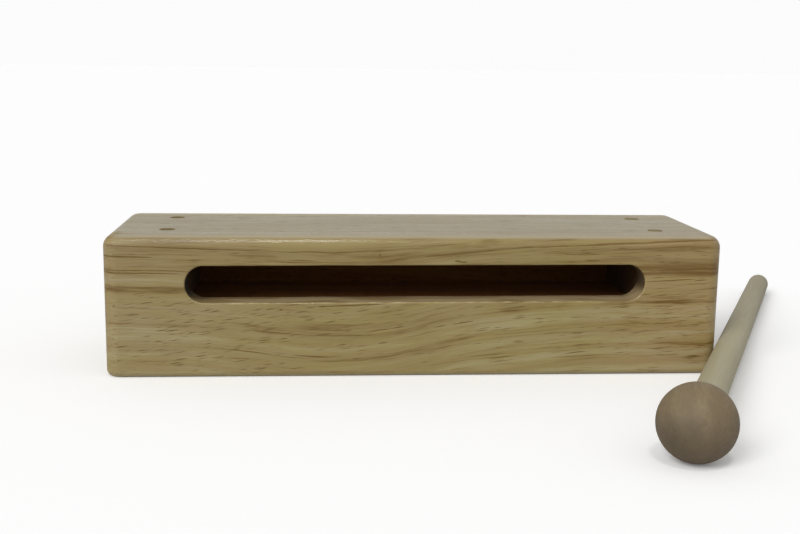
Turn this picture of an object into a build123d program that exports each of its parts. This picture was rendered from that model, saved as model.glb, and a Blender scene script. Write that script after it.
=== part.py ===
from build123d import *

import os
from math import asin, cos, radians, sin

# Hollow woodblock: boards glued into a box, pegged at both ends, with the ball-headed mallet that plays it.
# Frame: origin at the centre of the block's underside, X along the length, Y from the slot to the back, Z up.

# Block, in millimetres
block_length = 200.0
block_depth = 58.0
block_height = 46.0
corner_radius = 5.0
top_edge_radius = 4.0
bottom_edge_radius = 2.0

# Boards
front_thickness = 9.5
back_thickness = 9.5
top_thickness = 9.0
end_block_length = 25.75

# Slot, as long as the cavity behind it
slot_height = 12.0
slot_upper_lip = 0.4
slot_lower_lip = 2.3
slot_edge_radius = 0.5

# Pegs that pin the top plate through the end blocks into the base
peg_diameter = 5.0
peg_side_margin = 5.1
peg_cavity_margin = 6.85
peg_base_depth = 12.0
peg_chamfer = 0.5
peg_clearance = 0.03
peg_glue_gap = 0.5

# Mallet, lying on its head and its butt beside the front right corner
mallet_length = 254.5
head_diameter = 21.2
handle_head_diameter = 9.6
handle_butt_diameter = 8.6
tenon_diameter = 8.0
tenon_length = 13.5
tenon_clearance = 0.03
tenon_glue_gap = 0.5
mallet_heading = radians(64.75)
mallet_corner_gap = 0.3
head_lead = 92.8

# Sizes worked out from those above
cavity_height = slot_lower_lip + slot_height + slot_upper_lip
base_thickness = block_height - top_thickness - cavity_height
core_depth = block_depth - front_thickness - back_thickness
core_y = (front_thickness - back_thickness) / 2
front_y = -block_depth / 2
back_y = block_depth / 2
slot_length = block_length - 2 * end_block_length
slot_z = base_thickness + slot_lower_lip + slot_height / 2
end_block_x = (block_length - end_block_length) / 2
peg_x = block_length / 2 - end_block_length + peg_cavity_margin
peg_y = core_depth / 2 - peg_side_margin
peg_hole_radius = peg_diameter / 2 + peg_clearance
peg_foot_z = base_thickness - peg_base_depth + peg_glue_gap

os.makedirs("parts", exist_ok=True)


# Rounded outline of the finished block, which every board is cut from
with BuildPart() as blank:
    with BuildSketch():
        RectangleRounded(block_length, block_depth, corner_radius)
    extrude(amount=block_height)
    fillet(blank.faces().sort_by(Axis.Z)[-1].edges(), radius=top_edge_radius)
    fillet(blank.faces().sort_by(Axis.Z)[0].edges(), radius=bottom_edge_radius)


# Front board, full height and length, with the slot cut through it and its outer edge eased
with BuildPart() as front_board:
    add(blank.part)
    with Locations((0, front_y + front_thickness / 2, block_height / 2)):
        Box(block_length, front_thickness, block_height, mode=Mode.INTERSECT)
    with BuildSketch(Plane.XZ.offset(-front_y)):
        with Locations((0, slot_z)):
            SlotOverall(slot_length, slot_height)
    extrude(amount=-front_thickness, mode=Mode.SUBTRACT)
    slot_mouth = front_board.faces().sort_by(Axis.Y)[0].inner_wires()[0]
    fillet(slot_mouth.edges(), radius=slot_edge_radius)
front_board.part.label = "front_board"
export_step(front_board.part, "parts/front_board.step")


# Back board, full height and length, without an opening
with BuildPart() as back_board:
    add(blank.part)
    with Locations((0, back_y - back_thickness / 2, block_height / 2)):
        Box(block_length, back_thickness, block_height, mode=Mode.INTERSECT)
back_board.part.label = "back_board"
export_step(back_board.part, "parts/back_board.step")


# Top plate between the front and back boards, bored through for the pegs
with BuildPart() as top_plate:
    add(blank.part)
    with Locations((0, core_y, block_height - top_thickness / 2)):
        Box(block_length, core_depth, top_thickness, mode=Mode.INTERSECT)
    with Locations((0, core_y, block_height)):
        with GridLocations(2 * peg_x, 2 * peg_y, 2, 2):
            Hole(peg_hole_radius, depth=top_thickness)
top_plate.part.label = "top_plate"
export_step(top_plate.part, "parts/top_plate.step")


# Solid base under the cavity, with blind holes for the feet of the pegs
with BuildPart() as base_block:
    add(blank.part)
    with Locations((0, core_y, base_thickness / 2)):
        Box(block_length, core_depth, base_thickness, mode=Mode.INTERSECT)
    with Locations((0, core_y, base_thickness)):
        with GridLocations(2 * peg_x, 2 * peg_y, 2, 2):
            Hole(peg_hole_radius, depth=peg_base_depth)
base_block.part.label = "base_block"
export_step(base_block.part, "parts/base_block.step")


# End blocks that close the cavity, each bored through for its two pegs
for side, side_name in ((-1, "left"), (1, "right")):
    with BuildPart() as end_block:
        add(blank.part)
        with Locations((side * end_block_x, core_y, base_thickness + cavity_height / 2)):
            Box(end_block_length, core_depth, cavity_height, mode=Mode.INTERSECT)
        with Locations((side * peg_x, core_y, base_thickness + cavity_height)):
            with GridLocations(0, 2 * peg_y, 1, 2):
                Hole(peg_hole_radius, depth=cavity_height)
    end_block.part.label = f"{side_name}_end_block"
    export_step(end_block.part, f"parts/{side_name}_end_block.step")


# Pegs, flush with the top and chamfered at the foot
for x_side, x_name in ((-1, "left"), (1, "right")):
    for y_side, y_name in ((-1, "front"), (1, "back")):
        with BuildPart() as peg:
            with BuildSketch(Plane.XY.offset(peg_foot_z)):
                with Locations((x_side * peg_x, core_y + y_side * peg_y)):
                    Circle(peg_diameter / 2)
            extrude(amount=block_height - peg_foot_z)
            chamfer(peg.edges().group_by(Axis.Z)[0], length=peg_chamfer)
        peg.part.label = f"{y_name}_{x_name}_peg"
        export_step(peg.part, f"parts/{y_name}_{x_name}_peg.step")


# The mallet's axis runs from the head's centre past the block's front right corner, down to the butt
head_radius = head_diameter / 2
handle_radius = handle_head_diameter / 2
butt_radius = handle_butt_diameter / 2
butt_reach = mallet_length - head_radius - butt_radius
mallet_dip = asin((head_radius - butt_radius) / butt_reach)
corner_x = block_length / 2 - corner_radius
corner_y = front_y + corner_radius
passing_distance = corner_radius + mallet_corner_gap + handle_radius
head_centre = Vector(
    corner_x + passing_distance * sin(mallet_heading) - head_lead * cos(mallet_heading),
    corner_y - passing_distance * cos(mallet_heading) - head_lead * sin(mallet_heading),
    head_radius,
)
mallet_direction = Vector(
    cos(mallet_dip) * cos(mallet_heading),
    cos(mallet_dip) * sin(mallet_heading),
    -sin(mallet_dip),
)
mallet_side = Vector(sin(mallet_heading), -cos(mallet_heading), 0)
mallet_cross_section = Plane(head_centre, x_dir=mallet_side, z_dir=mallet_direction)
mallet_long_section = Plane(head_centre, x_dir=mallet_direction, z_dir=mallet_side)
shoulder_reach = (head_radius**2 - handle_radius**2) ** 0.5
tenon_end = shoulder_reach - tenon_length


# Ball head, bored from behind for the handle's tenon, with a flat seat for its shoulder
with BuildPart(mallet_cross_section) as mallet_head:
    Sphere(head_radius)
    with BuildSketch(mallet_cross_section.offset(shoulder_reach)):
        Circle(head_radius)
    extrude(amount=head_radius, mode=Mode.SUBTRACT)
    with BuildSketch(mallet_cross_section.offset(tenon_end - tenon_glue_gap)):
        Circle(tenon_diameter / 2 + tenon_clearance)
    extrude(amount=tenon_length + tenon_glue_gap, mode=Mode.SUBTRACT)
mallet_head.part.label = "mallet_head"
export_step(mallet_head.part, "parts/mallet_head.step")


# Handle, a tenon and a slim taper turned in one, with a domed butt
with BuildPart() as mallet_handle:
    with BuildSketch(mallet_long_section):
        with BuildLine():
            Polyline(
                (butt_reach + butt_radius, 0),
                (tenon_end, 0),
                (tenon_end, tenon_diameter / 2),
                (shoulder_reach, tenon_diameter / 2),
                (shoulder_reach, handle_radius),
                (butt_reach, butt_radius),
            )
            CenterArc((butt_reach, 0), butt_radius, start_angle=0, arc_size=90)
        make_face()
    revolve(axis=Axis(head_centre, mallet_direction))
mallet_handle.part.label = "mallet_handle"
export_step(mallet_handle.part, "parts/mallet_handle.step")
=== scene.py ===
import math
from contextlib import contextmanager
from functools import reduce

import bmesh
import bpy
from mathutils import Matrix, Vector


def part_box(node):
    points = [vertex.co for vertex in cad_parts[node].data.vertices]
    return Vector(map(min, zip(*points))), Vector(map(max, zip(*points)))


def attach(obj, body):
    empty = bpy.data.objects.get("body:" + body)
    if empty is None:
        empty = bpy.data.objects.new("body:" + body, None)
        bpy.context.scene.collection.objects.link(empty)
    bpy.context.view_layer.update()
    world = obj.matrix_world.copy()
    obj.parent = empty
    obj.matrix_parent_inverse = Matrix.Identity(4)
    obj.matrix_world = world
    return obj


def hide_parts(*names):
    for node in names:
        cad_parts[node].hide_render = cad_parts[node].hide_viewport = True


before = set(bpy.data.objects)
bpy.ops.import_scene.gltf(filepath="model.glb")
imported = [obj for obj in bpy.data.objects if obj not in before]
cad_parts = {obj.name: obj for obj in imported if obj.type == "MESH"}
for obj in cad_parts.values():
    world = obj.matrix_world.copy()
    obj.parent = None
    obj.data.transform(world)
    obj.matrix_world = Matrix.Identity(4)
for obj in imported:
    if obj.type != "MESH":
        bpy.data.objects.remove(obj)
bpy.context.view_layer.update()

MM = 0.001
X, Y, Z = 0, 1, 2

# Edges, cuts and fits that the nodes' boxes don't give, in metres
CORNER_RADIUS = 5.0 * MM
TOP_EDGE_RADIUS = 4.0 * MM
BOTTOM_EDGE_RADIUS = 2.0 * MM
SEAM_EASE = 0.15 * MM
SLOT_HEIGHT = 12.0 * MM
SLOT_RADIUS = SLOT_HEIGHT / 2
SLOT_LOWER_LIP = 2.3 * MM
SLOT_EDGE_RADIUS = 0.5 * MM
SLOT_TILT = math.radians(0.2)
SLOT_ROUTER_WANDER = 0.08 * MM
SLOT_ROUTER_SEED = 4
PEG_RADIUS = 2.5 * MM
PEG_FOOT_CHAMFER = 0.5 * MM
PEG_HOLE_EASE = 0.12 * MM
PEG_END_RIM = 0.6 * MM
PEG_END_DISH = 0.03 * MM
DRILL_SPARE = 2.0 * MM
DRILL_BELOW_FOOT = 0.5 * MM
HANDLE_RADIUS = 4.8 * MM
BUTT_RADIUS = 4.3 * MM
TENON_RADIUS = 4.0 * MM
TENON_LENGTH = 13.5 * MM
FIT_GAP = 0.03 * MM
TURNING_WAVER = 0.10 * MM
HEAD_WAVER_PATCH = 9.0 * MM
HANDLE_WAVER_PATCH = 14.0 * MM

# Steps and sides of the round shapes
CORNER_STEPS = 10
TOP_EDGE_STEPS = 8
BOTTOM_EDGE_STEPS = 5
SLOT_EDGE_STEPS = 5
EASE_STEPS = 2
SLOT_SIDES = 64
SLOT_RUN_CUTS = 15
PEG_SIDES = 48
HEAD_SEGMENTS = 96
HEAD_RINGS = 48
HANDLE_SIDES = 64
TAPER_STEPS = 40
DOME_STEPS = 10

# How close counts as the same place, and the angles in radians that tell edges apart
SAME_PLACE = 0.01 * MM
SHARP_EDGE = 0.3
SQUARE_EDGE = 0.8
SMOOTH_BELOW = math.radians(32)

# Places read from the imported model
front_low, front_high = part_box("front_board")
back_low, back_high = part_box("back_board")
head_low, head_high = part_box("mallet_head")
handle_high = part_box("mallet_handle")[1]

BLOCK_LOW = Vector(front_low)
BLOCK_HIGH = Vector((front_high.x, back_high.y, front_high.z))
BLOCK_CENTRE = (BLOCK_LOW + BLOCK_HIGH) / 2
BLOCK_SIZE = BLOCK_HIGH - BLOCK_LOW
FRONT_THICKNESS = front_high.y - front_low.y
FRONT_SEAM = front_high.y
BACK_SEAM = back_low.y
TOP_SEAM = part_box("top_plate")[0].z
BASE_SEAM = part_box("base_block")[1].z
LEFT_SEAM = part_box("left_end_block")[1].x
RIGHT_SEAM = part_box("right_end_block")[0].x
SLOT_HALF_LENGTH = (RIGHT_SEAM - LEFT_SEAM) / 2
SLOT_Z = BASE_SEAM + SLOT_LOWER_LIP + SLOT_RADIUS
SLOT_CENTRE = Vector((BLOCK_CENTRE.x, (front_low.y + front_high.y) / 2, SLOT_Z))

HEAD_RADIUS = (head_high.z - head_low.z) / 2
HEAD_X = (head_low.x + head_high.x) / 2
HEAD_CENTRE = Vector((HEAD_X, head_low.y + HEAD_RADIUS, head_low.z + HEAD_RADIUS))
BUTT_CENTRE = Vector((handle_high.x - BUTT_RADIUS, handle_high.y - BUTT_RADIUS, BUTT_RADIUS))
MALLET_AXIS = (BUTT_CENTRE - HEAD_CENTRE).normalized()
MALLET_TURN = MALLET_AXIS.to_track_quat("Z", "Y").to_euler()
MALLET_GRAIN = MALLET_AXIS.to_track_quat("X", "Y").to_euler()
BUTT_REACH = (BUTT_CENTRE - HEAD_CENTRE).length
SHOULDER_REACH = math.sqrt(HEAD_RADIUS**2 - HANDLE_RADIUS**2)
TENON_END = SHOULDER_REACH - TENON_LENGTH

PEG_NODES = ("front_left_peg", "back_left_peg", "front_right_peg", "back_right_peg")

# Camera, from the photograph: place and aim of an 800 by 534 frame
CAMERA_PLACE = Vector((-33.6, -384.6, 100.3)) * MM
CAMERA_YAW = 0.0775
CAMERA_PITCH = 0.178
CAMERA_ROLL = 0.014
CAMERA_LENS = 51.0
CAMERA_SENSOR = 36
CAMERA_NEAR = 0.01

# Stage, with the floor in metres, and each lamp's name, direction, strength and spread in degrees
FLOOR_SIZE = 40
SKY_STRENGTH = 0.46
BACKDROP = (0.97, 0.97, 0.97, 1)
BACKDROP_IN_GLOSS = 0.5
LAMPS = (
    ("window", (-0.06, -0.46, 0.88), 0.13, 9),
    ("left_window", (-0.52, -0.62, 0.58), 0.50, 30),
    ("right_fill", (0.75, -0.60, 0.30), 0.06, 90),
)


# Modelling helpers

def deselect_all():
    bpy.ops.object.select_all(action="DESELECT")


def make_active(piece):
    deselect_all()
    piece.select_set(True)
    bpy.context.view_layer.objects.active = piece


@contextmanager
def editing(piece):
    """Edit mode on one piece, with everything in it selected."""
    make_active(piece)
    bpy.ops.object.mode_set(mode="EDIT")
    bpy.ops.mesh.select_mode(type="EDGE")
    bpy.ops.mesh.select_all(action="SELECT")
    yield
    bpy.ops.object.mode_set(mode="OBJECT")


def select(piece, kind, wanted):
    """Selects, in edit mode, each VERT, EDGE or FACE of the piece that wanted accepts."""
    bpy.ops.mesh.select_mode(type=kind)
    mesh = bmesh.from_edit_mesh(piece.data)
    mesh.normal_update()
    elements = {"VERT": mesh.verts, "EDGE": mesh.edges, "FACE": mesh.faces}[kind]
    for element in elements:
        element.select_set(False)
    for element in elements:
        if wanted(element):
            element.select_set(True)
    mesh.select_flush_mode()
    bmesh.update_edit_mesh(piece.data)


def near(a, b, tolerance=SAME_PLACE):
    return abs(a - b) < tolerance


def lies_at(edge, axis, place, tolerance=SAME_PLACE):
    """Whether both ends of an edge are at a place on an axis."""
    return all(near(point.co[axis], place, tolerance) for point in edge.verts)


def is_upright(edge):
    first, second = (point.co for point in edge.verts)
    return near(first.x, second.x) and near(first.y, second.y)


def is_sharp(edge):
    return edge.calc_face_angle(0) > SHARP_EDGE


def round_edges(piece, wanted, radius, steps=EASE_STEPS):
    """Rounds over, in edit mode, the edges of the piece that wanted accepts."""
    select(piece, "EDGE", wanted)
    bpy.ops.mesh.bevel(offset=radius, segments=steps, affect="EDGES")


def apply_place(piece):
    make_active(piece)
    bpy.ops.object.transform_apply(location=True, rotation=True, scale=True)


def apply_modifier(piece, kind, **settings):
    """Adds a modifier with its settings to the piece and applies it."""
    make_active(piece)
    modifier = piece.modifiers.new(kind, kind)
    for name, value in settings.items():
        setattr(modifier, name, value)
    bpy.ops.object.modifier_apply(modifier=modifier.name)


def copy_of(piece, name):
    make_active(piece)
    bpy.ops.object.duplicate()
    twin = bpy.context.object
    twin.name = name
    twin.data.name = name
    return twin


def remove(piece):
    make_active(piece)
    bpy.ops.object.delete()


def cut_away(piece, cutter):
    """Takes the cutter's shape out of the piece."""
    apply_modifier(piece, "BOOLEAN", operation="DIFFERENCE", solver="EXACT", object=cutter)


def finish_surface(piece):
    """Smooth shading that keeps the flat faces flat and the sharp edges sharp."""
    make_active(piece)
    bpy.ops.object.shade_smooth_by_angle(angle=SMOOTH_BELOW)
    apply_modifier(piece, "WEIGHTED_NORMAL", keep_sharp=True)


def waver(piece, patch):
    """Sinks the surface by up to a hair in soft patches, as hand turning and sanding leave it."""
    patches = bpy.data.textures.new(piece.name + "_sanding", "CLOUDS")
    patches.noise_scale = patch
    apply_modifier(
        piece, "DISPLACE", texture=patches, texture_coords="LOCAL", mid_level=1.0, strength=TURNING_WAVER
    )


def install(piece, body, slot, material, *nodes):
    """Gives a finished piece its material, its body and the nodes that it stands for."""
    piece.data.materials.clear()
    piece.data.materials.append(material)
    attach(piece, body)
    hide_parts(*nodes)


# Block pieces

def rounded_blank():
    """The whole block with its corners, top edge and bottom edge rounded."""
    deselect_all()
    bpy.ops.mesh.primitive_cube_add(size=1, location=BLOCK_CENTRE)
    blank = bpy.context.object
    blank.scale = BLOCK_SIZE
    apply_place(blank)
    with editing(blank):
        round_edges(blank, is_upright, CORNER_RADIUS, CORNER_STEPS)
        round_edges(blank, lambda edge: lies_at(edge, Z, BLOCK_HIGH.z), TOP_EDGE_RADIUS, TOP_EDGE_STEPS)
        round_edges(blank, lambda edge: lies_at(edge, Z, BLOCK_LOW.z), BOTTOM_EDGE_RADIUS, BOTTOM_EDGE_STEPS)
    return blank


def sawn_board(blank, name, cuts):
    """A copy of the blank, sawn at cuts of (axis, place, side kept), with the sawn edges eased."""
    board = copy_of(blank, name)

    def is_sawn(edge):
        return is_sharp(edge) and any(lies_at(edge, axis, place) for axis, place, kept in cuts)

    with editing(board):
        for axis, place, kept in cuts:
            point = Vector((0, 0, 0))
            away = Vector((0, 0, 0))
            point[axis] = place
            away[axis] = -kept
            bpy.ops.mesh.select_all(action="SELECT")
            bpy.ops.mesh.bisect(plane_co=point, plane_no=away, use_fill=True, clear_outer=True)
        round_edges(board, is_sawn, SEAM_EASE)
    return board


def slot_cutter():
    """Racetrack plug for the slot, with runs that wander by a hair and a right end a touch higher."""
    deselect_all()
    bpy.ops.mesh.primitive_cylinder_add(
        vertices=SLOT_SIDES, radius=SLOT_RADIUS, depth=2 * FRONT_THICKNESS, rotation=(math.pi / 2, 0, 0)
    )
    cutter = bpy.context.object
    apply_place(cutter)
    stretch = SLOT_HALF_LENGTH - SLOT_RADIUS

    def is_run(edge):
        first, second = (point.co for point in edge.verts)
        return edge.calc_length() > 0.9 * stretch and near(first.y, second.y, MM)

    with editing(cutter):
        for side in (-1, 1):
            select(cutter, "VERT", lambda point: side * point.co.x > 0.1 * MM)
            bpy.ops.transform.translate(value=(side * stretch, 0, 0))
        select(cutter, "EDGE", is_run)
        bpy.ops.mesh.subdivide(number_cuts=SLOT_RUN_CUTS)
        select(cutter, "VERT", lambda point: abs(point.co.x) < 0.99 * stretch)
        bpy.ops.transform.vertex_random(offset=SLOT_ROUTER_WANDER, seed=SLOT_ROUTER_SEED)
    cutter.location = SLOT_CENTRE
    cutter.rotation_euler = (0, -SLOT_TILT, 0)
    apply_place(cutter)
    return cutter


def route_slot(board):
    """Cuts the slot through the front board, rounds over its mouth and eases its inner edge."""
    cutter = slot_cutter()
    cut_away(board, cutter)
    remove(cutter)

    def at_mouth(edge, face_y):
        in_slot = all(
            near(point.co.x, SLOT_CENTRE.x, SLOT_HALF_LENGTH + MM)
            and near(point.co.z, SLOT_CENTRE.z, SLOT_RADIUS + MM)
            for point in edge.verts
        )
        return in_slot and lies_at(edge, Y, face_y, 2 * SAME_PLACE) and is_sharp(edge)

    with editing(board):
        round_edges(board, lambda edge: at_mouth(edge, front_low.y), SLOT_EDGE_RADIUS, SLOT_EDGE_STEPS)
        round_edges(board, lambda edge: at_mouth(edge, front_high.y), SEAM_EASE)


def peg_place(node):
    """A peg's axis in X and Y, and the heights of its foot and its end."""
    low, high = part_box(node)
    return (low.x + high.x) / 2, (low.y + high.y) / 2, low.z, high.z


def peg_drill():
    """Four round cutters, one on each peg's axis, from below its foot to above the top."""
    drills = []
    for node in PEG_NODES:
        x, y, foot, end = peg_place(node)
        length = end - foot + DRILL_SPARE
        deselect_all()
        bpy.ops.mesh.primitive_cylinder_add(
            vertices=PEG_SIDES,
            radius=PEG_RADIUS + FIT_GAP,
            depth=length,
            location=(x, y, foot - DRILL_BELOW_FOOT + length / 2),
        )
        drills.append(bpy.context.object)
        apply_place(drills[-1])
    deselect_all()
    for drill in drills:
        drill.select_set(True)
    bpy.context.view_layer.objects.active = drills[0]
    bpy.ops.object.join()
    return bpy.context.object


def ease_peg_holes(board):
    """Breaks the edges of the peg holes in the top."""
    def is_rim(edge):
        is_square = edge.calc_face_angle(0) > SQUARE_EDGE
        return lies_at(edge, Z, BLOCK_HIGH.z) and is_square and edge.calc_length() < MM

    with editing(board):
        round_edges(board, is_rim, PEG_HOLE_EASE)


def peg(node):
    """A peg with a chamfered foot and a slightly dished, eased end."""
    x, y, foot, end = peg_place(node)
    deselect_all()
    bpy.ops.mesh.primitive_cylinder_add(
        vertices=PEG_SIDES, radius=PEG_RADIUS, depth=end - foot, location=(x, y, (foot + end) / 2)
    )
    piece = bpy.context.object
    piece.name = node.replace("peg", "dowel")
    apply_place(piece)
    with editing(piece):
        round_edges(piece, lambda edge: lies_at(edge, Z, foot), PEG_FOOT_CHAMFER, steps=1)
        round_edges(piece, lambda edge: lies_at(edge, Z, end), PEG_HOLE_EASE)
        select(piece, "FACE", lambda face: face.normal.z > 0.99)
        bpy.ops.mesh.inset(thickness=PEG_END_RIM)
        bpy.ops.transform.translate(value=(0, 0, -PEG_END_DISH))
    return piece


# Mallet pieces, modelled upright on the head's centre and then laid on their axis

def lay_down(piece):
    piece.rotation_euler = MALLET_TURN
    piece.location = HEAD_CENTRE
    apply_place(piece)


def draw_out(length):
    """Extrudes the selected face along Z."""
    bpy.ops.mesh.extrude_region_move(TRANSFORM_OT_translate={"value": (0, 0, length)})


def ball_head():
    """Turned ball with a flat seat and a blind bore for the handle's tenon."""
    deselect_all()
    bpy.ops.mesh.primitive_uv_sphere_add(segments=HEAD_SEGMENTS, ring_count=HEAD_RINGS, radius=HEAD_RADIUS)
    ball = bpy.context.object
    ball.name = "ball_head"
    waver(ball, HEAD_WAVER_PATCH)

    def is_seat(face):
        return face.normal.z > 0.999 and near(face.calc_center_median().z, SHOULDER_REACH)

    with editing(ball):
        bpy.ops.mesh.bisect(
            plane_co=(0, 0, SHOULDER_REACH), plane_no=(0, 0, 1), use_fill=True, clear_outer=True
        )
        select(ball, "FACE", is_seat)
        bpy.ops.mesh.inset(thickness=HANDLE_RADIUS - TENON_RADIUS - FIT_GAP)
        draw_out(-TENON_LENGTH)
    lay_down(ball)
    return ball


def handle_rings():
    """Reach and radius of each ring of the handle after the tenon's end: shoulder, taper and dome."""
    rings = [(SHOULDER_REACH, TENON_RADIUS), (SHOULDER_REACH, HANDLE_RADIUS)]
    for step in range(1, TAPER_STEPS + 1):
        share = step / TAPER_STEPS
        reach = SHOULDER_REACH + share * (BUTT_REACH - SHOULDER_REACH)
        rings.append((reach, HANDLE_RADIUS + share * (BUTT_RADIUS - HANDLE_RADIUS)))
    for step in range(1, DOME_STEPS):
        turn = math.pi / 2 * step / DOME_STEPS
        rings.append((BUTT_REACH + BUTT_RADIUS * math.sin(turn), BUTT_RADIUS * math.cos(turn)))
    return rings


def tapered_handle():
    """Tenon, shoulder, slim taper and domed butt, drawn out ring by ring."""
    deselect_all()
    bpy.ops.mesh.primitive_circle_add(
        vertices=HANDLE_SIDES, radius=TENON_RADIUS, fill_type="NGON", location=(0, 0, TENON_END)
    )
    handle = bpy.context.object
    handle.name = "tapered_handle"
    apply_place(handle)
    reach, radius = TENON_END, TENON_RADIUS
    with editing(handle):
        for next_reach, next_radius in handle_rings():
            draw_out(next_reach - reach)
            grow = next_radius / radius
            bpy.ops.transform.resize(value=(grow, grow, 1), center_override=(0, 0, next_reach))
            reach, radius = next_reach, next_radius
        bpy.ops.mesh.poke(offset=BUTT_REACH + BUTT_RADIUS - reach)
        bpy.ops.mesh.select_all(action="SELECT")
        bpy.ops.mesh.normals_make_consistent(inside=False)
    waver(handle, HANDLE_WAVER_PATCH)
    lay_down(handle)
    return handle


# Node helpers

def srgb(red, green, blue):
    """A display colour of 0 to 255 as the linear colour that a shader takes."""
    return tuple(((c / 255 + 0.055) / 1.055) ** 2.4 for c in (red, green, blue)) + (1.0,)


def feed(socket, value):
    """Links an input to another node's output, or sets its value."""
    if isinstance(value, bpy.types.NodeSocket):
        socket.id_data.links.new(value, socket)
    else:
        socket.default_value = value


def add_node(kind, inputs, **settings):
    """Adds a node, with its settings, to the tree of the outputs that feed it."""
    tree = next(value.id_data for value in inputs.values() if isinstance(value, bpy.types.NodeSocket))
    new = tree.nodes.new(kind)
    for name, value in settings.items():
        setattr(new, name, value)
    for name, value in inputs.items():
        feed(new.inputs[name], value)
    return new


def outputs_of(kind, inputs, **settings):
    return add_node(kind, inputs, **settings).outputs


def group_node(group, inputs):
    """A group's node with its inputs fed, as its outputs."""
    return outputs_of("ShaderNodeGroup", inputs, node_tree=group)


def calc(operation, *values):
    return outputs_of("ShaderNodeMath", dict(enumerate(values)), operation=operation)[0]


def times(*values):
    return reduce(lambda product, value: calc("MULTIPLY", product, value), values)


def plus(*values):
    return reduce(lambda total, value: calc("ADD", total, value), values)


def minus(value, less):
    return calc("SUBTRACT", value, less)


def times_plus(value, factor, more):
    return calc("MULTIPLY_ADD", value, factor, more)


def vector_calc(operation, *values):
    return outputs_of("ShaderNodeVectorMath", dict(enumerate(values)), operation=operation)


def remap(value, low, high, to_low=0.0, to_high=1.0):
    """Smooth step of a value between low and high."""
    inputs = {"Value": value, "From Min": low, "From Max": high, "To Min": to_low, "To Max": to_high}
    return outputs_of("ShaderNodeMapRange", inputs, interpolation_type="SMOOTHSTEP")["Result"]


def blend(factor, first, second, kind="MIX"):
    """Colours mixed by a factor, at the colour inputs and output of a mix node."""
    inputs = {0: factor, 6: first, 7: second}
    return outputs_of("ShaderNodeMix", inputs, data_type="RGBA", blend_type=kind)[2]


def split(place):
    return outputs_of("ShaderNodeSeparateXYZ", {0: place})


def joined(x, y, z):
    return outputs_of("ShaderNodeCombineXYZ", {0: x, 1: y, 2: z})[0]


def coordinates(tree, kind="Object"):
    return tree.nodes.new("ShaderNodeTexCoord").outputs[kind]


def distance(place, point):
    return vector_calc("LENGTH", vector_calc("SUBTRACT", place, point)[0])["Value"]


def stretched(place, lengths, slope=0.0):
    """The place divided by a length on each axis, with Z leaning along X by the slope."""
    x, y, z = split(place)
    leaning = minus(z, times(x, slope))
    return joined(*(calc("DIVIDE", *pair) for pair in zip((x, y, leaning), lengths)))


def noise(place, lengths, detail=2.0, slope=0.0):
    """Soft noise about 0 to 1 whose patches have the given lengths in millimetres."""
    vector = stretched(place, lengths, slope)
    inputs = {"Vector": vector, "Scale": 1.0, "Detail": detail, "Roughness": 0.55}
    return outputs_of("ShaderNodeTexNoise", inputs)["Fac"]


def swell(place, lengths, slope=0.0):
    """The same noise about zero."""
    return minus(noise(place, lengths, slope=slope), 0.5)


def new_group(name, inputs, outputs):
    """A node group with its typed sockets, as its tree, its inputs and its outputs."""
    tree = bpy.data.node_groups.new(name, "ShaderNodeTree")
    for side, sockets in (("INPUT", inputs), ("OUTPUT", outputs)):
        for socket, kind in sockets:
            tree.interface.new_socket(socket, in_out=side, socket_type="NodeSocket" + kind)
    return tree, tree.nodes.new("NodeGroupInput").outputs, tree.nodes.new("NodeGroupOutput").inputs


# Wood effects, as node groups that work in millimetres with the grain along X

# Sweep of the growth lines over the block's length, as (x, height)
GRAIN_SWEEP = (
    (-100, 4.6), (-80, 4.2), (-65, 3.3), (-50, 1.7), (-38, 0.5), (-27, 0.0), (-15, 0.6), (-5, 2.0),
    (5, 4.2), (15, 6.3), (30, 8.4), (48, 10.0), (70, 11.0), (100, 11.3),
)
# Depth of tone of the growth lines, as (level, depth), and of the plain wood between them
GROWTH_TONES = (
    (-12, 0.28), (-8.2, 0.12), (-6.4, 0.46), (-4.8, 0.28), (-3.0, 0.14), (-1.2, 0.34), (-0.5, 0.48),
    (0.5, 0.30), (3.0, 0.20), (4.2, 0.34), (5.3, 0.43), (6.2, 0.40), (7.2, 0.30), (8.8, 0.12),
    (10.0, 0.26), (11.6, 0.22), (12.4, 0.40), (13.1, 0.54), (14.0, 0.50), (16.2, 0.46), (17.4, 0.40),
    (20, 0.32), (22.4, 0.34), (23.5, 0.50), (25.2, 0.52), (26.4, 0.34), (28.0, 0.14), (31.0, 0.44),
    (33.2, 0.28), (36.4, 0.35), (39.4, 0.34), (48, 0.28),
)
TONES_FROM = GROWTH_TONES[0][0]
TONES_SPAN = GROWTH_TONES[-1][0] - TONES_FROM
PLAIN_DEPTH = 0.3
GROUND_DEPTH = 0.27
RING_CURVE = 0.012
# Rise of the front's pores over the block's length, as (x, height)
PORE_RISE = ((-100, 0), (-30, 10.5), (0, 15.2), (30, 19.6), (60, 23.2), (100, 26.6))
PORE_RISE_MIDDLE = dict(PORE_RISE)[0]
HALF_LENGTH = round(BLOCK_SIZE.x / 2 / MM, 3)

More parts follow.
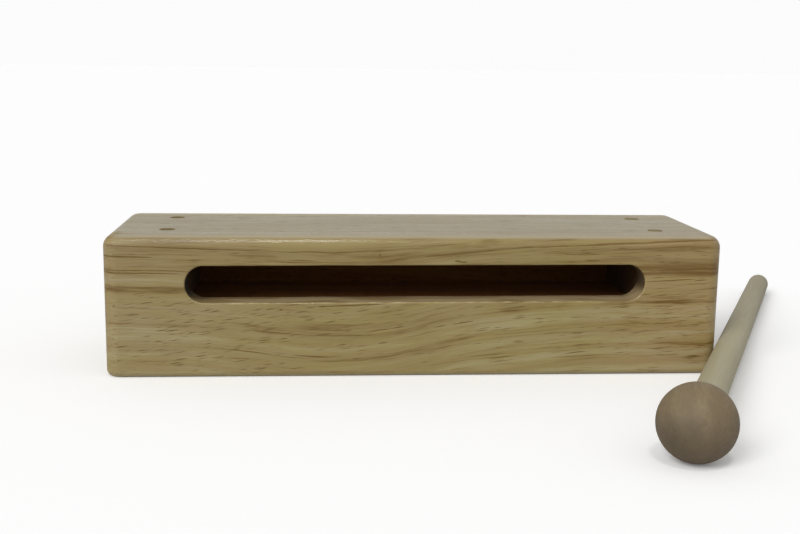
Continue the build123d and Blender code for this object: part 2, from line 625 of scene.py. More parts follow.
# Lengths of the patches of each unevenness, along the grain, into the wood and up the face
GRAIN_DRIFT = (45, 20, 16)
GRAIN_RIPPLE = (11, 7, 4)
TONE_BREAKS = (12, 4, 1.6)
GROWTH_LINES = (48, 8, 2.2)
LINE_BREAKS = (15, 5, 2.6)
FINE_FIBRE = (20, 1.0, 0.62)
BROAD_FIBRE = (50, 8, 4.0)
PORE_WOBBLE = (5, 3, 3)
PORE_CROWDS = (14, 5, 2.2)
SHORT_PORE = (6.5, 0.56, 0.54)
LONG_PORE = (13.0, 0.56, 0.54)
YELLOW_PATCHES = (34, 8, 2.4)
LACQUER_RIPPLE = (1.4, 0.42, 0.42)
STREAK_SWAY = (7, 7, 3)
STREAK_BREAKS = (14, 3, 0.9)
LIP_PATCHES = (24, 7, 6)
RIM_GLINT_PATCHES = (4, 4, 4)
HEAD_CLOUDS = (5, 5, 6)

# How far the noise moves lines, pores and streaks, and how much it crowds the pores
RIPPLE_HEIGHT = 0.7
WOBBLE_HEIGHT = 0.6
SWAY_HEIGHT = 0.6
CROWDING = 1.3

# Pores by their share of a cell, and streaks by how full they are where their taper is widest
DASH_RADIUS = 0.27
DASH_SPREAD = 0.22
STREAK_FULLNESS = 2.2
LEAST_REACH = 0.001

# Shares of the fibre and the pores in tone, gloss and relief
FIBRE_SHARE = 0.6
FIBRE_OFFSET = -0.1
FIBRE_DEPTH = 0.9
FIBRE_DULLING = 0.3
PORE_DULLING = 0.2
PORE_SINK = 0.5
END_GRAIN_PORES = 0.25
# Height of the relief, and how far the mask of the cavity reaches past its walls, in metres
RELIEF_HEIGHT = 0.15 * MM
CAVITY_SPARE = 0.2 * MM

WHITE = (1, 1, 1, 1)
COOL_TINT = (1.0, 0.985, 1.05, 1)
YELLOW_TINT = (0.99, 1.0, 0.82, 1)


def curve_along(x, points):
    """A smooth curve over the block's length, through points of (place, height) in millimetres."""
    top = max(height for along, height in points)
    share = times_plus(x, 0.5 / HALF_LENGTH, 0.5)
    node = add_node("ShaderNodeFloatCurve", {"Value": share})
    curve = node.mapping.curves[0]
    stops = [((along + HALF_LENGTH) / (2 * HALF_LENGTH), height / top) for along, height in points]
    curve.points[0].location = stops[0]
    curve.points[1].location = stops[-1]
    for stop in stops[1:-1]:
        curve.points.new(*stop)
    node.mapping.update()
    return times(node.outputs[0], top)


def growth_tone(level):
    """Depth of tone of the growth line at a level."""
    share = calc("DIVIDE", minus(level, TONES_FROM), TONES_SPAN)
    node = add_node("ShaderNodeValToRGB", {"Fac": calc("FRACT", share)})
    ramp = node.color_ramp
    ramp.interpolation = "EASE"
    stops = [((at - TONES_FROM) / TONES_SPAN, depth) for at, depth in GROWTH_TONES]
    for position, _ in stops[1:-1]:
        ramp.elements.new(position)
    for element, (position, depth) in zip(ramp.elements, stops):
        element.position = position
        element.color = (depth, depth, depth, 1)
    return node.outputs["Color"]


def figure_group():
    """Growth lines along the sweep of the figure, as depth of tone, the fibre, and the swept place."""
    tree, given, result = new_group(
        "wood_figure",
        [("Place", "Vector"), ("Flow", "Float"), ("Contrast", "Float"), ("Lines", "Float")],
        [("Depth", "Float"), ("Fibre", "Float"), ("Swept", "Vector")],
    )
    place = given["Place"]
    x, y, z = split(place)
    low_left = times(remap(x, -30, -75), remap(z, 18, 4))
    top_fade = remap(z, 31.0, 44.0, 1.0, 0.45)
    swing = times_plus(curve_along(x, GRAIN_SWEEP), top_fade, low_left)
    bend = times(swing, given["Flow"])
    ripple = times(swell(place, GRAIN_RIPPLE), RIPPLE_HEIGHT)
    uneven = plus(swell(place, GRAIN_DRIFT), ripple)
    ring = times_plus(times(y, y), RING_CURVE, z)
    level = minus(plus(ring, uneven), bend)
    swept = joined(x, y, level)
    broken = remap(noise(swept, TONE_BREAKS), 0.3, 0.7, 0.7, 1.4)
    above_plain = minus(growth_tone(level), PLAIN_DEPTH)
    stressed = times(above_plain, broken, given["Contrast"])
    line_noise = noise(swept, GROWTH_LINES, 1.0)
    from_line = calc("ABSOLUTE", minus(line_noise, 0.5))
    drawn = remap(noise(swept, LINE_BREAKS), 0.42, 0.62)
    lines = times(remap(from_line, 0.065, 0.01), drawn)
    lined = times_plus(lines, given["Lines"], stressed)
    fine = times_plus(noise(swept, FINE_FIBRE, 3.0), FIBRE_SHARE, FIBRE_OFFSET)
    fibre = times_plus(noise(swept, BROAD_FIBRE), FIBRE_SHARE, fine)
    feed(result["Depth"], plus(lined, GROUND_DEPTH))
    feed(result["Fibre"], fibre)
    feed(result["Swept"], swept)
    return tree


def pore_dashes_group():
    """Mask of the open pores: short and long dashes along X, in crowds, and fainter on end grain."""
    tree, given, result = new_group(
        "pore_dashes",
        [("Place", "Vector"), ("Slope", "Float"), ("Short", "Float"), ("Long", "Float")],
        [("Mask", "Float")],
    )
    wobble = times(swell(given["Place"], PORE_WOBBLE), WOBBLE_HEIGHT)
    place = vector_calc("ADD", given["Place"], joined(0.0, wobble, wobble))[0]
    crowd = swell(place, PORE_CROWDS, given["Slope"])
    masks = []
    for kind, lengths in (("Short", SHORT_PORE), ("Long", LONG_PORE)):
        cells = stretched(place, lengths, given["Slope"])
        dots = outputs_of("ShaderNodeTexVoronoi", {"Vector": cells, "Scale": 1.0}, feature="F1")
        chance, size, shade = outputs_of("ShaderNodeSeparateColor", {0: dots["Color"]})
        rim = times_plus(size, DASH_SPREAD, DASH_RADIUS)
        dash = remap(calc("DIVIDE", dots["Distance"], rim), 1.0, 0.2)
        share = times_plus(crowd, CROWDING, given[kind])
        kept = remap(minus(share, chance), -0.04, 0.04)
        shown = times(kept, remap(shade, 0.0, 1.0, 0.55, 1.0))
        masks.append(times(dash, shown))
    end_on = calc("ABSOLUTE", split(coordinates(tree, "Normal"))[0])
    side_share = remap(end_on, 0.15, 0.6, 1.0, END_GRAIN_PORES)
    feed(result["Mask"], times(calc("MAXIMUM", *masks), side_share))
    return tree


def streak_group():
    """Mask of one dark streak from a point to another, tapered at both ends, on the face in X and Z."""
    tree, given, result = new_group(
        "dark_streak",
        [("Place", "Vector"), ("From", "Vector"), ("To", "Vector"), ("Width", "Float")],
        [("Mask", "Float")],
    )
    flat = vector_calc("MULTIPLY", given["Place"], (1, 0, 1))[0]
    run = vector_calc("SUBTRACT", given["To"], given["From"])[0]
    offset = vector_calc("SUBTRACT", flat, given["From"])[0]
    reached = vector_calc("DOT_PRODUCT", offset, run)["Value"]
    share = calc("DIVIDE", reached, vector_calc("DOT_PRODUCT", run, run)["Value"])
    share = outputs_of("ShaderNodeClamp", {"Value": share})[0]
    nearest = outputs_of("ShaderNodeVectorMath", {0: run, "Scale": share}, operation="SCALE")[0]
    taper = calc("SQRT", times(share, minus(1.0, share)))
    reach = times_plus(times(taper, given["Width"]), STREAK_FULLNESS, LEAST_REACH)
    from_middle = calc("DIVIDE", distance(offset, nearest), reach)
    feed(result["Mask"], remap(from_middle, 1.0, 0.0))
    return tree


def wood_tone_group():
    """Colour of the wood from its depth of tone, its fibre, its pores and how yellow it is."""
    tree, given, result = new_group(
        "wood_tone",
        [
            ("Pale", "Color"), ("Middle", "Color"), ("Deep", "Color"), ("Pore", "Color"),
            ("Depth", "Float"), ("Fibre", "Float"), ("Pores", "Float"), ("Yellow", "Float"),
        ],
        [("Color", "Color")],
    )
    fibre = minus(0.5, given["Fibre"])
    depth = times_plus(fibre, FIBRE_DEPTH, given["Depth"])
    light = blend(remap(depth, 0.0, 0.4), given["Pale"], given["Middle"])
    toned = blend(remap(depth, 0.35, 1.0), light, given["Deep"])
    tint = blend(given["Yellow"], COOL_TINT, YELLOW_TINT)
    tinted = blend(1.0, toned, tint, "MULTIPLY")
    feed(result["Color"], blend(given["Pores"], tinted, given["Pore"]))
    return tree


def skin_group():
    """Height of the surface: the lacquer ripples over the fibres, and pores are open."""
    tree, given, result = new_group(
        "wood_skin", [("Place", "Vector"), ("Pores", "Float")], [("Height", "Float")]
    )
    ripple = noise(given["Place"], LACQUER_RIPPLE)
    sunk = times(given["Pores"], PORE_SINK)
    feed(result["Height"], minus(ripple, sunk))
    return tree


def cavity_group():
    """Mask of the surfaces that face the hollow of the block, from object coordinates."""
    tree, given, result = new_group("cavity_mask", [("Place", "Vector")], [("Mask", "Float")])
    x, y, z = split(given["Place"])
    middle = (BASE_SEAM + TOP_SEAM) / 2
    walls = ((x, RIGHT_SEAM), (y, BACK_SEAM), (minus(z, middle), TOP_SEAM - middle))
    within = [calc("LESS_THAN", calc("ABSOLUTE", part), wall + CAVITY_SPARE) for part, wall in walls]
    feed(result["Mask"], times(*within))
    return tree


wood_figure = figure_group()
pore_dashes = pore_dashes_group()
dark_streak = streak_group()
wood_tone = wood_tone_group()
wood_skin = skin_group()
cavity_mask = cavity_group()


# Finishes

# Tones of each wood: pale, middle, deep, and its pores
BOARD_TONES = (srgb(161, 150, 110), srgb(150, 132, 88), srgb(104, 78, 24), srgb(96, 72, 18))
TOP_TONES = (srgb(142, 131, 90), srgb(134, 118, 75), srgb(100, 76, 38), srgb(82, 56, 24))
PEG_TONES = (srgb(115, 96, 44), srgb(101, 82, 34), srgb(70, 53, 20), srgb(56, 41, 15))
HEAD_TONES = (srgb(119, 104, 81), srgb(108, 93, 72), srgb(84, 71, 53), srgb(80, 66, 50))
HANDLE_TONES = (srgb(157, 149, 125), srgb(152, 143, 118), srgb(140, 129, 104), srgb(120, 104, 82))

# Colours of worn and bare places, and of painted sheen, light, highlight and shade
WORN_EDGE_AND_SHEEN = srgb(164, 153, 126)
FOOT_PAINTED_LIGHT = srgb(188, 172, 132)
RIM_HIGHLIGHT = srgb(186, 172, 128)
PALE_LIP = srgb(157, 136, 98)
BROWN_LIP = srgb(130, 107, 66)
LEFT_WALL_SHADE = srgb(44, 32, 14)
RIGHT_WALL_SHADE = srgb(80, 62, 34)
PEG_HEART = srgb(152, 136, 98)

# Tints that multiply a wood's colour, among them painted light on the ball's crown, painted light and shade
# along the handle, and painted shade in the hollow
WARM_TINT = (1.06, 1.0, 1.0, 1)
HEAD_LOW_TINT = (0.98, 0.98, 0.97, 1)
HEAD_CROWN_LIGHT_TINT = (1.20, 1.19, 1.10, 1)
HEAD_CHEEK_TINT = (0.72, 0.72, 0.70, 1)
HANDLE_NEAR_LIGHT_TINT = (1.18, 1.20, 1.21, 1)
HANDLE_FAR_SHADE_TINT = (0.90, 0.90, 0.91, 1)
# Painted shade of the hollow, one dark tint for each board that faces it
CAVITY_SHADE_TINTS = {
    "back_board": (0.48, 0.23, 0.06, 1),
    "top_plate": (0.50, 0.25, 0.07, 1),
    "base_block": (1.00, 0.46, 0.12, 1),
    "left_end_block": (0.22, 0.12, 0.04, 1),
    "right_end_block": (0.22, 0.12, 0.04, 1),
}
FLOOR_SEEN = WHITE
FLOOR_LIT = (0.6, 0.6, 0.6, 1)
FLOOR_LIFT = (0.10, 0.10, 0.10, 1)

# Gloss, relief and the spread of the yellow patches
LACQUER_ROUGHNESS = 0.3
WORN_ROUGHNESS = 0.55
BARE_ROUGHNESS = 0.9
EDGE_GLOSS = 0.13
LACQUER_RELIEF = 0.6
YELLOW_SPREAD = 2.0

# Dark cheek of the ball in millimetres from its centre, pale hearts of pegs, and a share that hides all pores
HEAD_CHEEK = Vector((-0.71, -0.65, -0.15)) * HEAD_RADIUS / MM
HEAD_CLOUD_REACH = 6.0
PEG_HEART_RADIUS = 1.4 * MM
PEG_RING_RADIUS = 2.1 * MM
PEG_HEART_SHARE = 0.65
NO_PORES = -1.0

# Dark bands of the front, each from (x, z) to (x, z) in millimetres, with its half width and its strength
DARK_BANDS = (
    ((-116, 29.1), (-60, 28.7), 2.00, 0.42),
    ((-24, 39.5), (36, 39.9), 1.60, 0.15),
    ((2, 39.4), (37, 42.9), 0.80, 0.24),
    ((66, 36.2), (116, 36.6), 1.80, 0.40),
    ((68, 34.0), (114, 33.8), 0.90, 0.32),
    ((73, 24.7), (88, 24.3), 0.90, 0.12),
    ((76, 11.2), (116, 12.0), 2.80, 0.20),
)
# Thin streaks of the front, given as the bands are
STRAIGHT_STREAKS = (
    ((-104, 39.6), (-84, 39.2), 0.40, 0.65),
    ((-102, 35.1), (-74, 34.8), 0.24, 0.80),
    ((-102, 34.3), (-76, 33.9), 0.24, 0.70),
    ((-104, 30.0), (-74, 29.2), 0.30, 0.15),
    ((-56, 37.8), (-20, 37.4), 0.32, 0.50),
    ((-42, 38.4), (-31, 38.0), 0.25, 0.60),
    ((-32, 23.2), (-12, 24.0), 0.32, 1.20),
    ((5, 22.2), (17, 24.4), 0.24, 0.90),
    ((27, 23.9), (35, 24.7), 0.30, 1.10),
    ((0, 42.6), (17, 43.9), 0.36, 0.65),
    ((30, 42.3), (102, 45.0), 0.40, 0.95),
    ((38, 40.8), (62, 42.2), 0.24, 0.70),
    ((47, 40.2), (59, 40.4), 0.24, 0.90),
    ((61, 40.3), (74, 41.2), 0.26, 0.50),
    ((74, 41.4), (92, 41.7), 0.24, 0.40),
    ((54, 38.2), (59, 38.4), 0.26, 0.90),
    ((78, 35.1), (104, 35.6), 0.45, 0.90),
    ((74.5, 31.2), (91, 32.2), 0.24, 2.40),
    ((83, 29.9), (97, 30.9), 0.24, 1.10),
    ((92, 28.6), (102, 29.3), 0.24, 1.10),
    ((76, 28.8), (85, 29.4), 0.22, 0.80),
    ((76, 26.3), (93, 27.7), 0.26, 0.90),
    ((72, 24.2), (103, 24.6), 0.45, 0.75),
    ((70, 22.1), (81, 22.8), 0.22, 0.80),
    ((78, 21.4), (92, 23.0), 0.22, 0.90),
    ((88, 21.0), (101, 22.8), 0.22, 0.90),
    ((74, 17.0), (87, 17.7), 0.22, 0.80),
    ((84, 16.1), (98, 17.9), 0.26, 0.90),
    ((70, 14.6), (92, 15.5), 0.24, 0.80),
    ((88, 13.0), (104, 13.4), 0.36, 0.70),
    ((86, 10.2), (104, 10.5), 0.36, 0.70),
    ((79, 7.5), (94, 8.7), 0.22, 0.90),
    ((83, 5.8), (96, 6.3), 0.26, 0.90),
    ((65, 2.7), (77, 3.6), 0.26, 0.80),
)
# Streaks that follow the sweep, at the height that they have where it is lowest
SWEPT_STREAKS = (
    ((-104, 40.9), (-58, 40.0), 0.30, 0.65),
    ((-70, 40.0), (4, 41.3), 0.30, 0.75),
    ((-40, 16.4), (-2, 15.4), 0.28, 0.40),
    ((-104, 13.2), (-40, 13.3), 0.26, 0.20),
    ((-56, 13.5), (6, 13.5), 0.28, 0.50),
    ((-4, 14.0), (66, 12.7), 0.36, 0.45),
    ((-6, 10.9), (41, 9.8), 0.20, 0.90),
    ((5, 6.9), (42, 5.2), 0.26, 0.45),
    ((28, 5.3), (76, 6.1), 0.28, 0.60),
    ((-2, 5.0), (68, 4.2), 0.26, 0.60),
    ((-104, 4.9), (-50, 6.0), 0.30, 0.35),
    ((-66, 6.0), (-34, 5.5), 0.34, 0.65),
    ((-40, 6.3), (-24, 6.6), 0.45, 0.65),
    ((-35, 5.0), (-16, 4.9), 0.24, 0.60),
    ((-20, 5.0), (6, 4.2), 0.24, 0.35),
    ((-102, -0.2), (-64, 1.0), 0.32, 0.40),
    ((-66, 2.4), (-54, 3.5), 0.50, 0.50),
    ((4, -0.4), (37, -2.7), 0.28, 0.70),
    ((15, -0.4), (50, -1.8), 0.28, 0.70),
    ((43, -1.8), (78, -0.8), 0.26, 0.65),
    ((25, -4.5), (68, -4.8), 0.32, 0.70),
    ((43, -3.6), (69, -4.1), 0.24, 0.75),
)
# Small open marks of the front, nearly black, given without a strength
FRONT_MARKS = (
    ((11.6, 38.1), (13.8, 37.9), 0.50),
    ((13.2, 37.7), (15.8, 37.8), 0.40),
    ((-12.9, 40.5), (-12.1, 39.7), 0.30),
    ((-32, 23.2), (-29.5, 23.3), 0.40),
    ((-44.4, 22.4), (-43.4, 22.1), 0.30),
)


def nodes_of(material):
    """A material's node tree and its shader."""
    tree = material.node_tree
    return tree, tree.nodes["Principled BSDF"]


def new_material(name):
    material = bpy.data.materials.new(name)
    material.use_nodes = True
    return material, *nodes_of(material)


def grain_place(tree, centre, turn=(0, 0, 0)):
    """Object coordinates in millimetres about a centre, turned so that X runs along the grain."""
    inputs = {"Vector": coordinates(tree), "Location": centre, "Rotation": turn, "Scale": (MM, MM, MM)}
    return outputs_of("ShaderNodeMapping", inputs, vector_type="TEXTURE")[0]


def wood_figure_at(place, contrast, lines, flow):
    inputs = {"Place": place, "Contrast": contrast, "Lines": lines, "Flow": flow}
    return group_node(wood_figure, inputs)


def yellowness(swept, middle, spread=YELLOW_SPREAD):
    """How yellow the wood is, in long patches about a middle value."""
    return times_plus(swell(swept, YELLOW_PATCHES), spread, middle)


def wood_surface(shader, place, tones, layers, roughness, relief, relief_share=1.0):
    """Colour, gloss and relief of a wood from its depth of tone, fibre, pores and yellowness."""
    wood_colours = dict(zip(("Pale", "Middle", "Deep", "Pore"), tones))
    colour = group_node(wood_tone, {**wood_colours, **layers})["Color"]
    fibre = minus(0.5, layers["Fibre"])
    dull = times_plus(fibre, FIBRE_DULLING, roughness)
    dull = times_plus(layers["Pores"], PORE_DULLING, dull)
    height = group_node(wood_skin, {"Place": place, "Pores": layers["Pores"]})["Height"]
    height = times(height, relief_share)
    inputs = {"Height": height, "Strength": relief, "Distance": RELIEF_HEIGHT}
    feed(shader.inputs["Base Color"], colour)
    feed(shader.inputs["Roughness"], dull)
    feed(shader.inputs["Normal"], outputs_of("ShaderNodeBump", inputs)["Normal"])


def wood(
    name, centre, turn, tones,
    contrast=0.8, lines=0.2, flow=0.0, slope=0.05, short_pores=0.2, long_pores=0.12,
    yellow=0.5, patches=YELLOW_SPREAD, roughness=LACQUER_ROUGHNESS, relief=LACQUER_RELIEF,
):
    """One wood finish, laid in the grain of one piece."""
    material, tree, shader = new_material(name)
    place = grain_place(tree, centre, turn)
    figure = wood_figure_at(place, contrast, lines, flow)
    pore_inputs = {"Place": place, "Slope": slope, "Short": short_pores, "Long": long_pores}
    layers = {
        "Depth": figure["Depth"],
        "Fibre": figure["Fibre"],
        "Pores": group_node(pore_dashes, pore_inputs)["Mask"],
        "Yellow": yellowness(figure["Swept"], yellow, patches),
    }
    wood_surface(shader, place, tones, layers, roughness, relief)
    return material


def cover(shader, share, colour, kind="MIX"):
    """Lays a share of a colour over the shader's base colour, or multiplies it in."""
    base = shader.inputs["Base Color"]
    feed(base, blend(share, base.links[0].from_socket, colour, kind))


def paint_cavity_shade(material, tint):
    """Painted shade: bare wood tinted dark where a board faces the hollow."""
    tree, shader = nodes_of(material)
    mask = group_node(cavity_mask, {"Place": coordinates(tree)})["Mask"]
    cover(shader, 1.0, blend(mask, WHITE, tint), "MULTIPLY")
    gloss = shader.inputs["Roughness"]
    feed(gloss, calc("MAXIMUM", gloss.links[0].from_socket, mask))


def streak_mask(place, start, end, width):
    ends = {"From": (start[0], 0, start[1]), "To": (end[0], 0, end[1])}
    return group_node(dark_streak, {"Place": place, "Width": width, **ends})["Mask"]


def streak_sum(place, streaks):
    """All the streaks of a list laid over each other, each at its own strength."""
    drawn = 0.0
    for *shape, strength in streaks:
        drawn = times_plus(streak_mask(place, *shape), strength, drawn)
    return drawn


def front_depth(place, figure):
    """The figure's depth of tone with the front's own streaks added."""
    x, y, z = split(place)
    sway = times(swell(place, STREAK_SWAY), SWAY_HEIGHT)
    wavy = vector_calc("ADD", place, joined(0.0, 0.0, sway))[0]
    swept_streaks = streak_sum(figure["Swept"], SWEPT_STREAKS)
    thin = plus(streak_sum(wavy, STRAIGHT_STREAKS), swept_streaks)
    broken = remap(noise(figure["Swept"], STREAK_BREAKS, 3.0), 0.34, 0.6, 0.5, 1.0)
    thin_share = times(broken, remap(x, -70, 10, 0.8, 0.45))
    drawn = times_plus(thin, thin_share, streak_sum(wavy, DARK_BANDS))
    shallow = remap(y, 1.5, 6.0, 1.0, 0.3)
    darker_top = times(remap(z, 30, 35), remap(x, -15, 20, 0.19, 0.22))
    darker_middle = times(remap(x, -75, -35, 0.0, 0.12), remap(x, 22, -5), remap(z, 30, 25))
    plain = plus(figure["Depth"], plus(darker_top, darker_middle))
    return times_plus(drawn, shallow, plain)


def front_pores(place):
    """The front's pores, many and rising to the right low down, few and flatter above, and its marks."""
    x, y, z = split(place)
    rise = minus(curve_along(x, PORE_RISE), PORE_RISE_MIDDLE)
    along = plus(remap(x, -50, 5, 1.1, 0.28), remap(x, 45, 75, 0.0, 0.5))
    low_short = plus(along, remap(z, 3, 13, -0.6, 0.0))
    low_long = plus(remap(x, -20, 20, 0.06, 0.2), remap(x, 60, 75, 0.0, 0.25))
    low_only = remap(z, 27, 31, 0.0, -1.5)
    high_short = remap(x, 40, 75, 0.1, 0.5)
    high_long = 0.16
    high_only = plus(remap(z, 27, 31, -1.5, 0.0), remap(z, 42, 44, 0.0, -0.6))
    pores = 0.0
    for steepness, short_share, long_share, height in (
        (1.0, low_short, low_long, low_only),
        (0.4, high_short, high_long, high_only),
    ):
        level = minus(z, times(rise, steepness))
        inputs = {
            "Place": joined(x, y, level),
            "Slope": 0.0,
            "Short": plus(height, short_share),
            "Long": plus(height, long_share),
        }
        pores = calc("MAXIMUM", pores, group_node(pore_dashes, inputs)["Mask"])
    for mark in FRONT_MARKS:
        pores = calc("MAXIMUM", pores, streak_mask(place, *mark))
    return pores


def slot_cut(place):
    """Mask and colour of the slot's bare wood, brown, with painted shade on its walls above the lip and at
    its left end, and mask of a painted highlight on its lower rim.
    """
    x, y, z = split(place)
    half_length = (SLOT_HALF_LENGTH + SLOT_EDGE_RADIUS) / MM
    tilt_spare = 0.2
    half_height = (SLOT_RADIUS + SLOT_EDGE_RADIUS) / MM + tilt_spare
    from_middle = calc("ABSOLUTE", minus(z, SLOT_CENTRE.z / MM))
    in_length = calc("LESS_THAN", calc("ABSOLUTE", x), half_length)
    in_slot = times(in_length, calc("LESS_THAN", from_middle, half_height))
    bare = times(in_slot, remap(y, 0.2, 0.7))
    patches = remap(noise(place, LIP_PATCHES), 0.4, 0.62)
    lip = blend(patches, PALE_LIP, BROWN_LIP)
    # Painted shade: the walls above the lit lip and the left end's wall darker
    wall = calc("MAXIMUM", remap(z, 26.2, 30.3), remap(x, -70, -74))
    wall_shade = blend(remap(x, -60, 60), LEFT_WALL_SHADE, RIGHT_WALL_SHADE)
    # Painted highlight: a pale line along the lower rim of the mouth, broken into glints, kept off the right
    # end
    rim = times(remap(y, 0.01, 0.12), remap(y, 0.6, 0.35), remap(x, 64, 50))
    glints = remap(noise(place, RIM_GLINT_PATCHES), 0.4, 0.65, 0.05, 0.7)
    low_rim_highlight = times(rim, glints, in_slot, remap(z, 29.0, 27.0))
    return bare, blend(wall, lip, wall_shade), low_rim_highlight


def slotted_front():
    """The front's lacquered wood: streaks, pores and marks, its pale top edge with painted sheen, a foot with
    painted light, and the cut of the slot with its painted shade and highlight.
    """
    material, tree, shader = new_material("front_lacquer")
    place = grain_place(tree, (0, front_low.y, 0))
    x, _, z = split(place)
    contrast = remap(x, -40, 20, 0.7, 0.85)
    lines = remap(x, -20, 10, 0.12, 0.2)
    figure = wood_figure_at(place, contrast, lines, flow=1.0)
    yellow = plus(remap(x, -100, -25, 0.2, 0.7), remap(x, 40, 80, 0.0, -0.25))
    stress = remap(x, -10, 40, 1.5, 1.1)
    fibre = times(minus(figure["Fibre"], 0.5), stress)
    layers = {
        "Depth": front_depth(place, figure),
        "Fibre": plus(fibre, 0.5),
        "Pores": front_pores(place),
        "Yellow": yellowness(figure["Swept"], yellow),
    }
    bare, bare_colour, low_rim_highlight = slot_cut(place)
    edge_gloss = times(remap(z, 43.2, 44.2), remap(z, 45.7, 45.0), remap(x, -95, -86))
    corner_wear = remap(x, -93, -97, LACQUER_ROUGHNESS, WORN_ROUGHNESS)
    lacquer = times_plus(edge_gloss, -EDGE_GLOSS, corner_wear)
    roughness = calc("MAXIMUM", lacquer, times(bare, BARE_ROUGHNESS))
    relief_share = remap(z, 42.0, 43.5, 0.35, 1.0)
    wood_surface(shader, place, BOARD_TONES, layers, roughness, LACQUER_RELIEF, relief_share)
    cover(shader, 1.0, blend(remap(x, 50, 85), WHITE, WARM_TINT), "MULTIPLY")
    # Pale worn band high on the top edge, partly painted sheen
    off_flat = remap(z, 45.9, 45.99, 1.0, 0.0)
    off_ends = remap(calc("ABSOLUTE", x), 99.0, 94.0)
    cover(shader, times(remap(z, 44.8, 45.5, 0.0, 0.85), off_flat, off_ends), WORN_EDGE_AND_SHEEN)
    cover(shader, remap(z, 45.9, 45.99, 0.0, 0.7), TOP_TONES[1])
    # Painted light: the foot's rounding made paler, as if lit from the floor
    cover(shader, remap(z, 1.6, 0.2, 0.0, 0.6), FOOT_PAINTED_LIGHT)
    cover(shader, bare, bare_colour)
    # Painted highlight along the slot's lower rim
    cover(shader, low_rim_highlight, RIM_HIGHLIGHT)
    return material


def peg_end_grain(name):
    """Peg end grain, dull and dark with glue."""
    material = wood(name, (0, 0, 0), (0, math.pi / 2, 0), PEG_TONES, roughness=0.6)
    _, shader = nodes_of(material)
    shader.inputs["Specular IOR Level"].default_value = 0.12
    return material


def pale_hearts(material):
    """Makes peg ends paler inside a dark ring, with all four axes mirrored onto one."""
    tree, shader = nodes_of(material)
    x, y, _, _ = peg_place("back_right_peg")
    mirrored = vector_calc("ABSOLUTE", coordinates(tree))[0]
    flat = vector_calc("MULTIPLY", mirrored, (1, 1, 0))[0]
    from_axis = distance(flat, (x, y, 0))
    mask = remap(from_axis, PEG_RING_RADIUS, PEG_HEART_RADIUS, 0.0, PEG_HEART_SHARE)
    cover(shader, mask, PEG_HEART)


def oiled_head():
    """The ball's oiled wood, with soft cloudy patches, a darker cheek towards the front left and painted
    light on its crown.
    """
    material = wood(
        "oiled_head", HEAD_CENTRE, MALLET_GRAIN, HEAD_TONES,
        contrast=0.3, lines=0.05, short_pores=NO_PORES, long_pores=NO_PORES,
        yellow=0.4, patches=0.4, roughness=0.65, relief=0.2,
    )
    tree, shader = nodes_of(material)
    place = grain_place(tree, HEAD_CENTRE)
    from_cheek = distance(place, HEAD_CHEEK)
    cloud = times_plus(noise(place, HEAD_CLOUDS, 3.0), HEAD_CLOUD_REACH, from_cheek)
    # Painted light: the ball paler towards its top, slightly darker low down
    painted_crown_light = blend(remap(split(place)[2], -2.0, 10.0), HEAD_LOW_TINT, HEAD_CROWN_LIGHT_TINT)
    shade = blend(remap(cloud, 12.0, 4.0), painted_crown_light, HEAD_CHEEK_TINT)
    cover(shader, 1.0, shade, "MULTIPLY")
    return material


def handle_with_painted_light():
    """The handle's bare wood, with painted light and shade: paler near the head and a little darker and
    greyer towards the butt.
    """
    material = wood(
        "bare_handle", HEAD_CENTRE, MALLET_GRAIN, HANDLE_TONES,
        contrast=0.4, lines=0.1, short_pores=NO_PORES, long_pores=NO_PORES,
        yellow=0.5, patches=0.5, roughness=0.6, relief=0.2,
    )
    tree, shader = nodes_of(material)
    along = split(grain_place(tree, HEAD_CENTRE, MALLET_GRAIN))[0]
    # Painted light and shade along the handle
    painted_light_along = blend(remap(along, 90, 230), HANDLE_NEAR_LIGHT_TINT, HANDLE_FAR_SHADE_TINT)
    cover(shader, 1.0, painted_light_along, "MULTIPLY")
    return material


def pale_floor():
    """Pale to the camera, and greyer in the light that it throws back on the block."""
    material, tree, shader = new_material("pale_floor")
    seen = tree.nodes.new("ShaderNodeLightPath").outputs["Is Camera Ray"]
    feed(shader.inputs["Base Color"], blend(seen, FLOOR_LIT, FLOOR_SEEN))
    feed(shader.inputs["Emission Color"], blend(seen, (0, 0, 0, 1), FLOOR_LIFT))
    shader.inputs["Emission Strength"].default_value = 1.0
    shader.inputs["Roughness"].default_value = 0.9
    shader.inputs["Specular IOR Level"].default_value = 0.1
    return material


# Stage

def floor():
    deselect_all()
    bpy.ops.mesh.primitive_plane_add(size=FLOOR_SIZE)
    ground = bpy.context.object
    ground.name = "floor"
    ground.data.materials.append(pale_floor())


def soft_sun(name, towards, strength, spread):
    """A far lamp that shines from a direction, with shadows softened by its spread."""
    deselect_all()
    bpy.ops.object.light_add(type="SUN", location=Vector(towards))
    lamp = bpy.context.object
    lamp.name = name
    lamp.rotation_euler = (-Vector(towards)).to_track_quat("-Z", "Y").to_euler()
    lamp.data.angle = math.radians(spread)
    lamp.data.energy = strength * math.pi


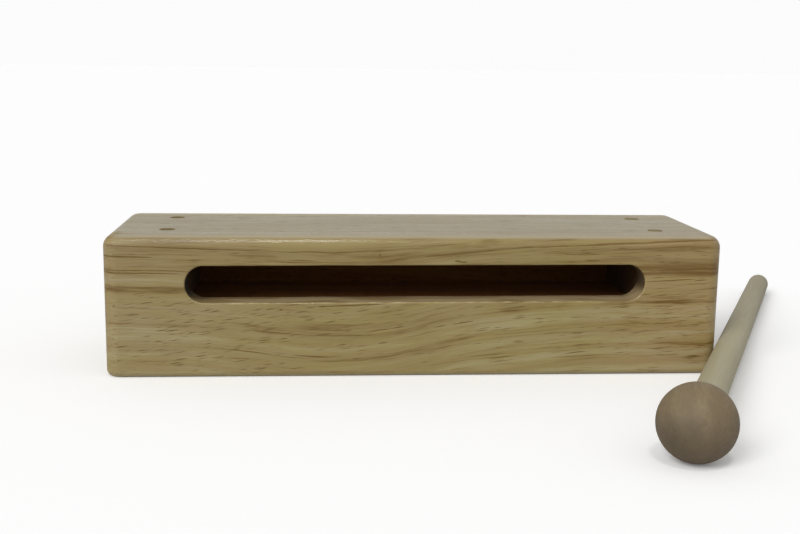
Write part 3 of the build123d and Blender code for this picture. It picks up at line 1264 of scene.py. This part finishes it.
def daylight():
    """A soft sky, a window over the camera, a broad one on the left and a faint fill on the right."""
    world = bpy.data.worlds.new("daylight")
    bpy.context.scene.world = world
    world.use_nodes = True
    tree = world.node_tree
    sky = tree.nodes["Background"]
    sky.inputs["Color"].default_value = WHITE
    sky.inputs["Strength"].default_value = SKY_STRENGTH
    backdrop = tree.nodes.new("ShaderNodeBackground")
    backdrop.inputs["Color"].default_value = BACKDROP
    path = tree.nodes.new("ShaderNodeLightPath").outputs
    seen = calc("MAXIMUM", path["Is Camera Ray"], path["Is Transmission Ray"])
    mirrored = times(path["Is Glossy Ray"], BACKDROP_IN_GLOSS)
    inputs = {0: calc("MAXIMUM", seen, mirrored), 1: sky.outputs[0], 2: backdrop.outputs[0]}
    mix = outputs_of("ShaderNodeMixShader", inputs)[0]
    feed(tree.nodes["World Output"].inputs["Surface"], mix)
    for lamp in LAMPS:
        soft_sun(*lamp)


def camera():
    turn = (
        Matrix.Rotation(-CAMERA_YAW, 4, "Z")
        @ Matrix.Rotation(math.pi / 2 - CAMERA_PITCH, 4, "X")
        @ Matrix.Rotation(CAMERA_ROLL, 4, "Z")
    )
    deselect_all()
    bpy.ops.object.camera_add(location=CAMERA_PLACE, rotation=turn.to_euler())
    view = bpy.context.object
    view.data.sensor_width = CAMERA_SENSOR
    view.data.lens = CAMERA_LENS
    view.data.clip_start = CAMERA_NEAR
    bpy.context.scene.camera = view


# Finishes of the boards, pegs and mallet, each board with its grain on a place and turn of its own

board_finish = {
    "front_board": slotted_front(),
    "back_board": wood(
        "back_lacquer", (0.03, back_high.y, 0.021), (0, 0, math.pi), BOARD_TONES,
        flow=0.5, slope=0.06, short_pores=0.3, long_pores=0.15,
    ),
    "top_plate": wood(
        "top_lacquer", (-0.02, -0.03, 0.05), (math.radians(80), 0, 0), TOP_TONES,
        contrast=0.4, lines=0.12, flow=0.2, patches=0.8,
    ),
    "base_block": wood(
        "base_lacquer", (0.01, 0.0, -0.03), (math.radians(-70), 0, 0), BOARD_TONES, flow=0.2
    ),
    "left_end_block": wood(
        "left_end_lacquer", (-0.2, 0.03, -0.011), (math.radians(25), 0, 0), BOARD_TONES
    ),
    "right_end_block": wood(
        "right_end_lacquer", (0.2, -0.04, -0.007), (math.radians(-15), 0, 0), BOARD_TONES
    ),
}
# Painted shade on the boards where they face the hollow
for node, tint in CAVITY_SHADE_TINTS.items():
    paint_cavity_shade(board_finish[node], tint)
left_peg_finish = peg_end_grain("left_peg_end_grain")
right_peg_finish = peg_end_grain("right_peg_end_grain")
pale_hearts(right_peg_finish)

# Boards, sawn from one blank, then routed and drilled

blank = rounded_blank()
core = ((Y, FRONT_SEAM, 1), (Y, BACK_SEAM, -1))
end_core = (*core, (Z, TOP_SEAM, -1), (Z, BASE_SEAM, 1))
boards = {
    "front_board": sawn_board(blank, "slotted_front", ((Y, FRONT_SEAM, -1),)),
    "back_board": sawn_board(blank, "plain_back", ((Y, BACK_SEAM, 1),)),
    "top_plate": sawn_board(blank, "struck_top", (*core, (Z, TOP_SEAM, 1))),
    "base_block": sawn_board(blank, "solid_base", (*core, (Z, BASE_SEAM, -1))),
    "left_end_block": sawn_board(blank, "left_end", (*end_core, (X, LEFT_SEAM, -1))),
    "right_end_block": sawn_board(blank, "right_end", (*end_core, (X, RIGHT_SEAM, 1))),
}
remove(blank)
route_slot(boards["front_board"])
drill = peg_drill()
for node in ("top_plate", "base_block", "left_end_block", "right_end_block"):
    cut_away(boards[node], drill)
remove(drill)
ease_peg_holes(boards["top_plate"])
for node, board in boards.items():
    finish_surface(board)
    install(board, "block", "board_wood", board_finish[node], node)

# Pegs and mallet

for node in PEG_NODES:
    dowel = peg(node)
    finish_surface(dowel)
    peg_finish = left_peg_finish if "left" in node else right_peg_finish
    install(dowel, "block", "peg_wood", peg_finish, node)
head = ball_head()
finish_surface(head)
install(head, "mallet", "head_wood", oiled_head(), "mallet_head")
handle = tapered_handle()
finish_surface(handle)
install(handle, "mallet", "handle_wood", handle_with_painted_light(), "mallet_handle")

floor()
daylight()
camera()
bpy.context.scene.view_settings.view_transform = "Standard"
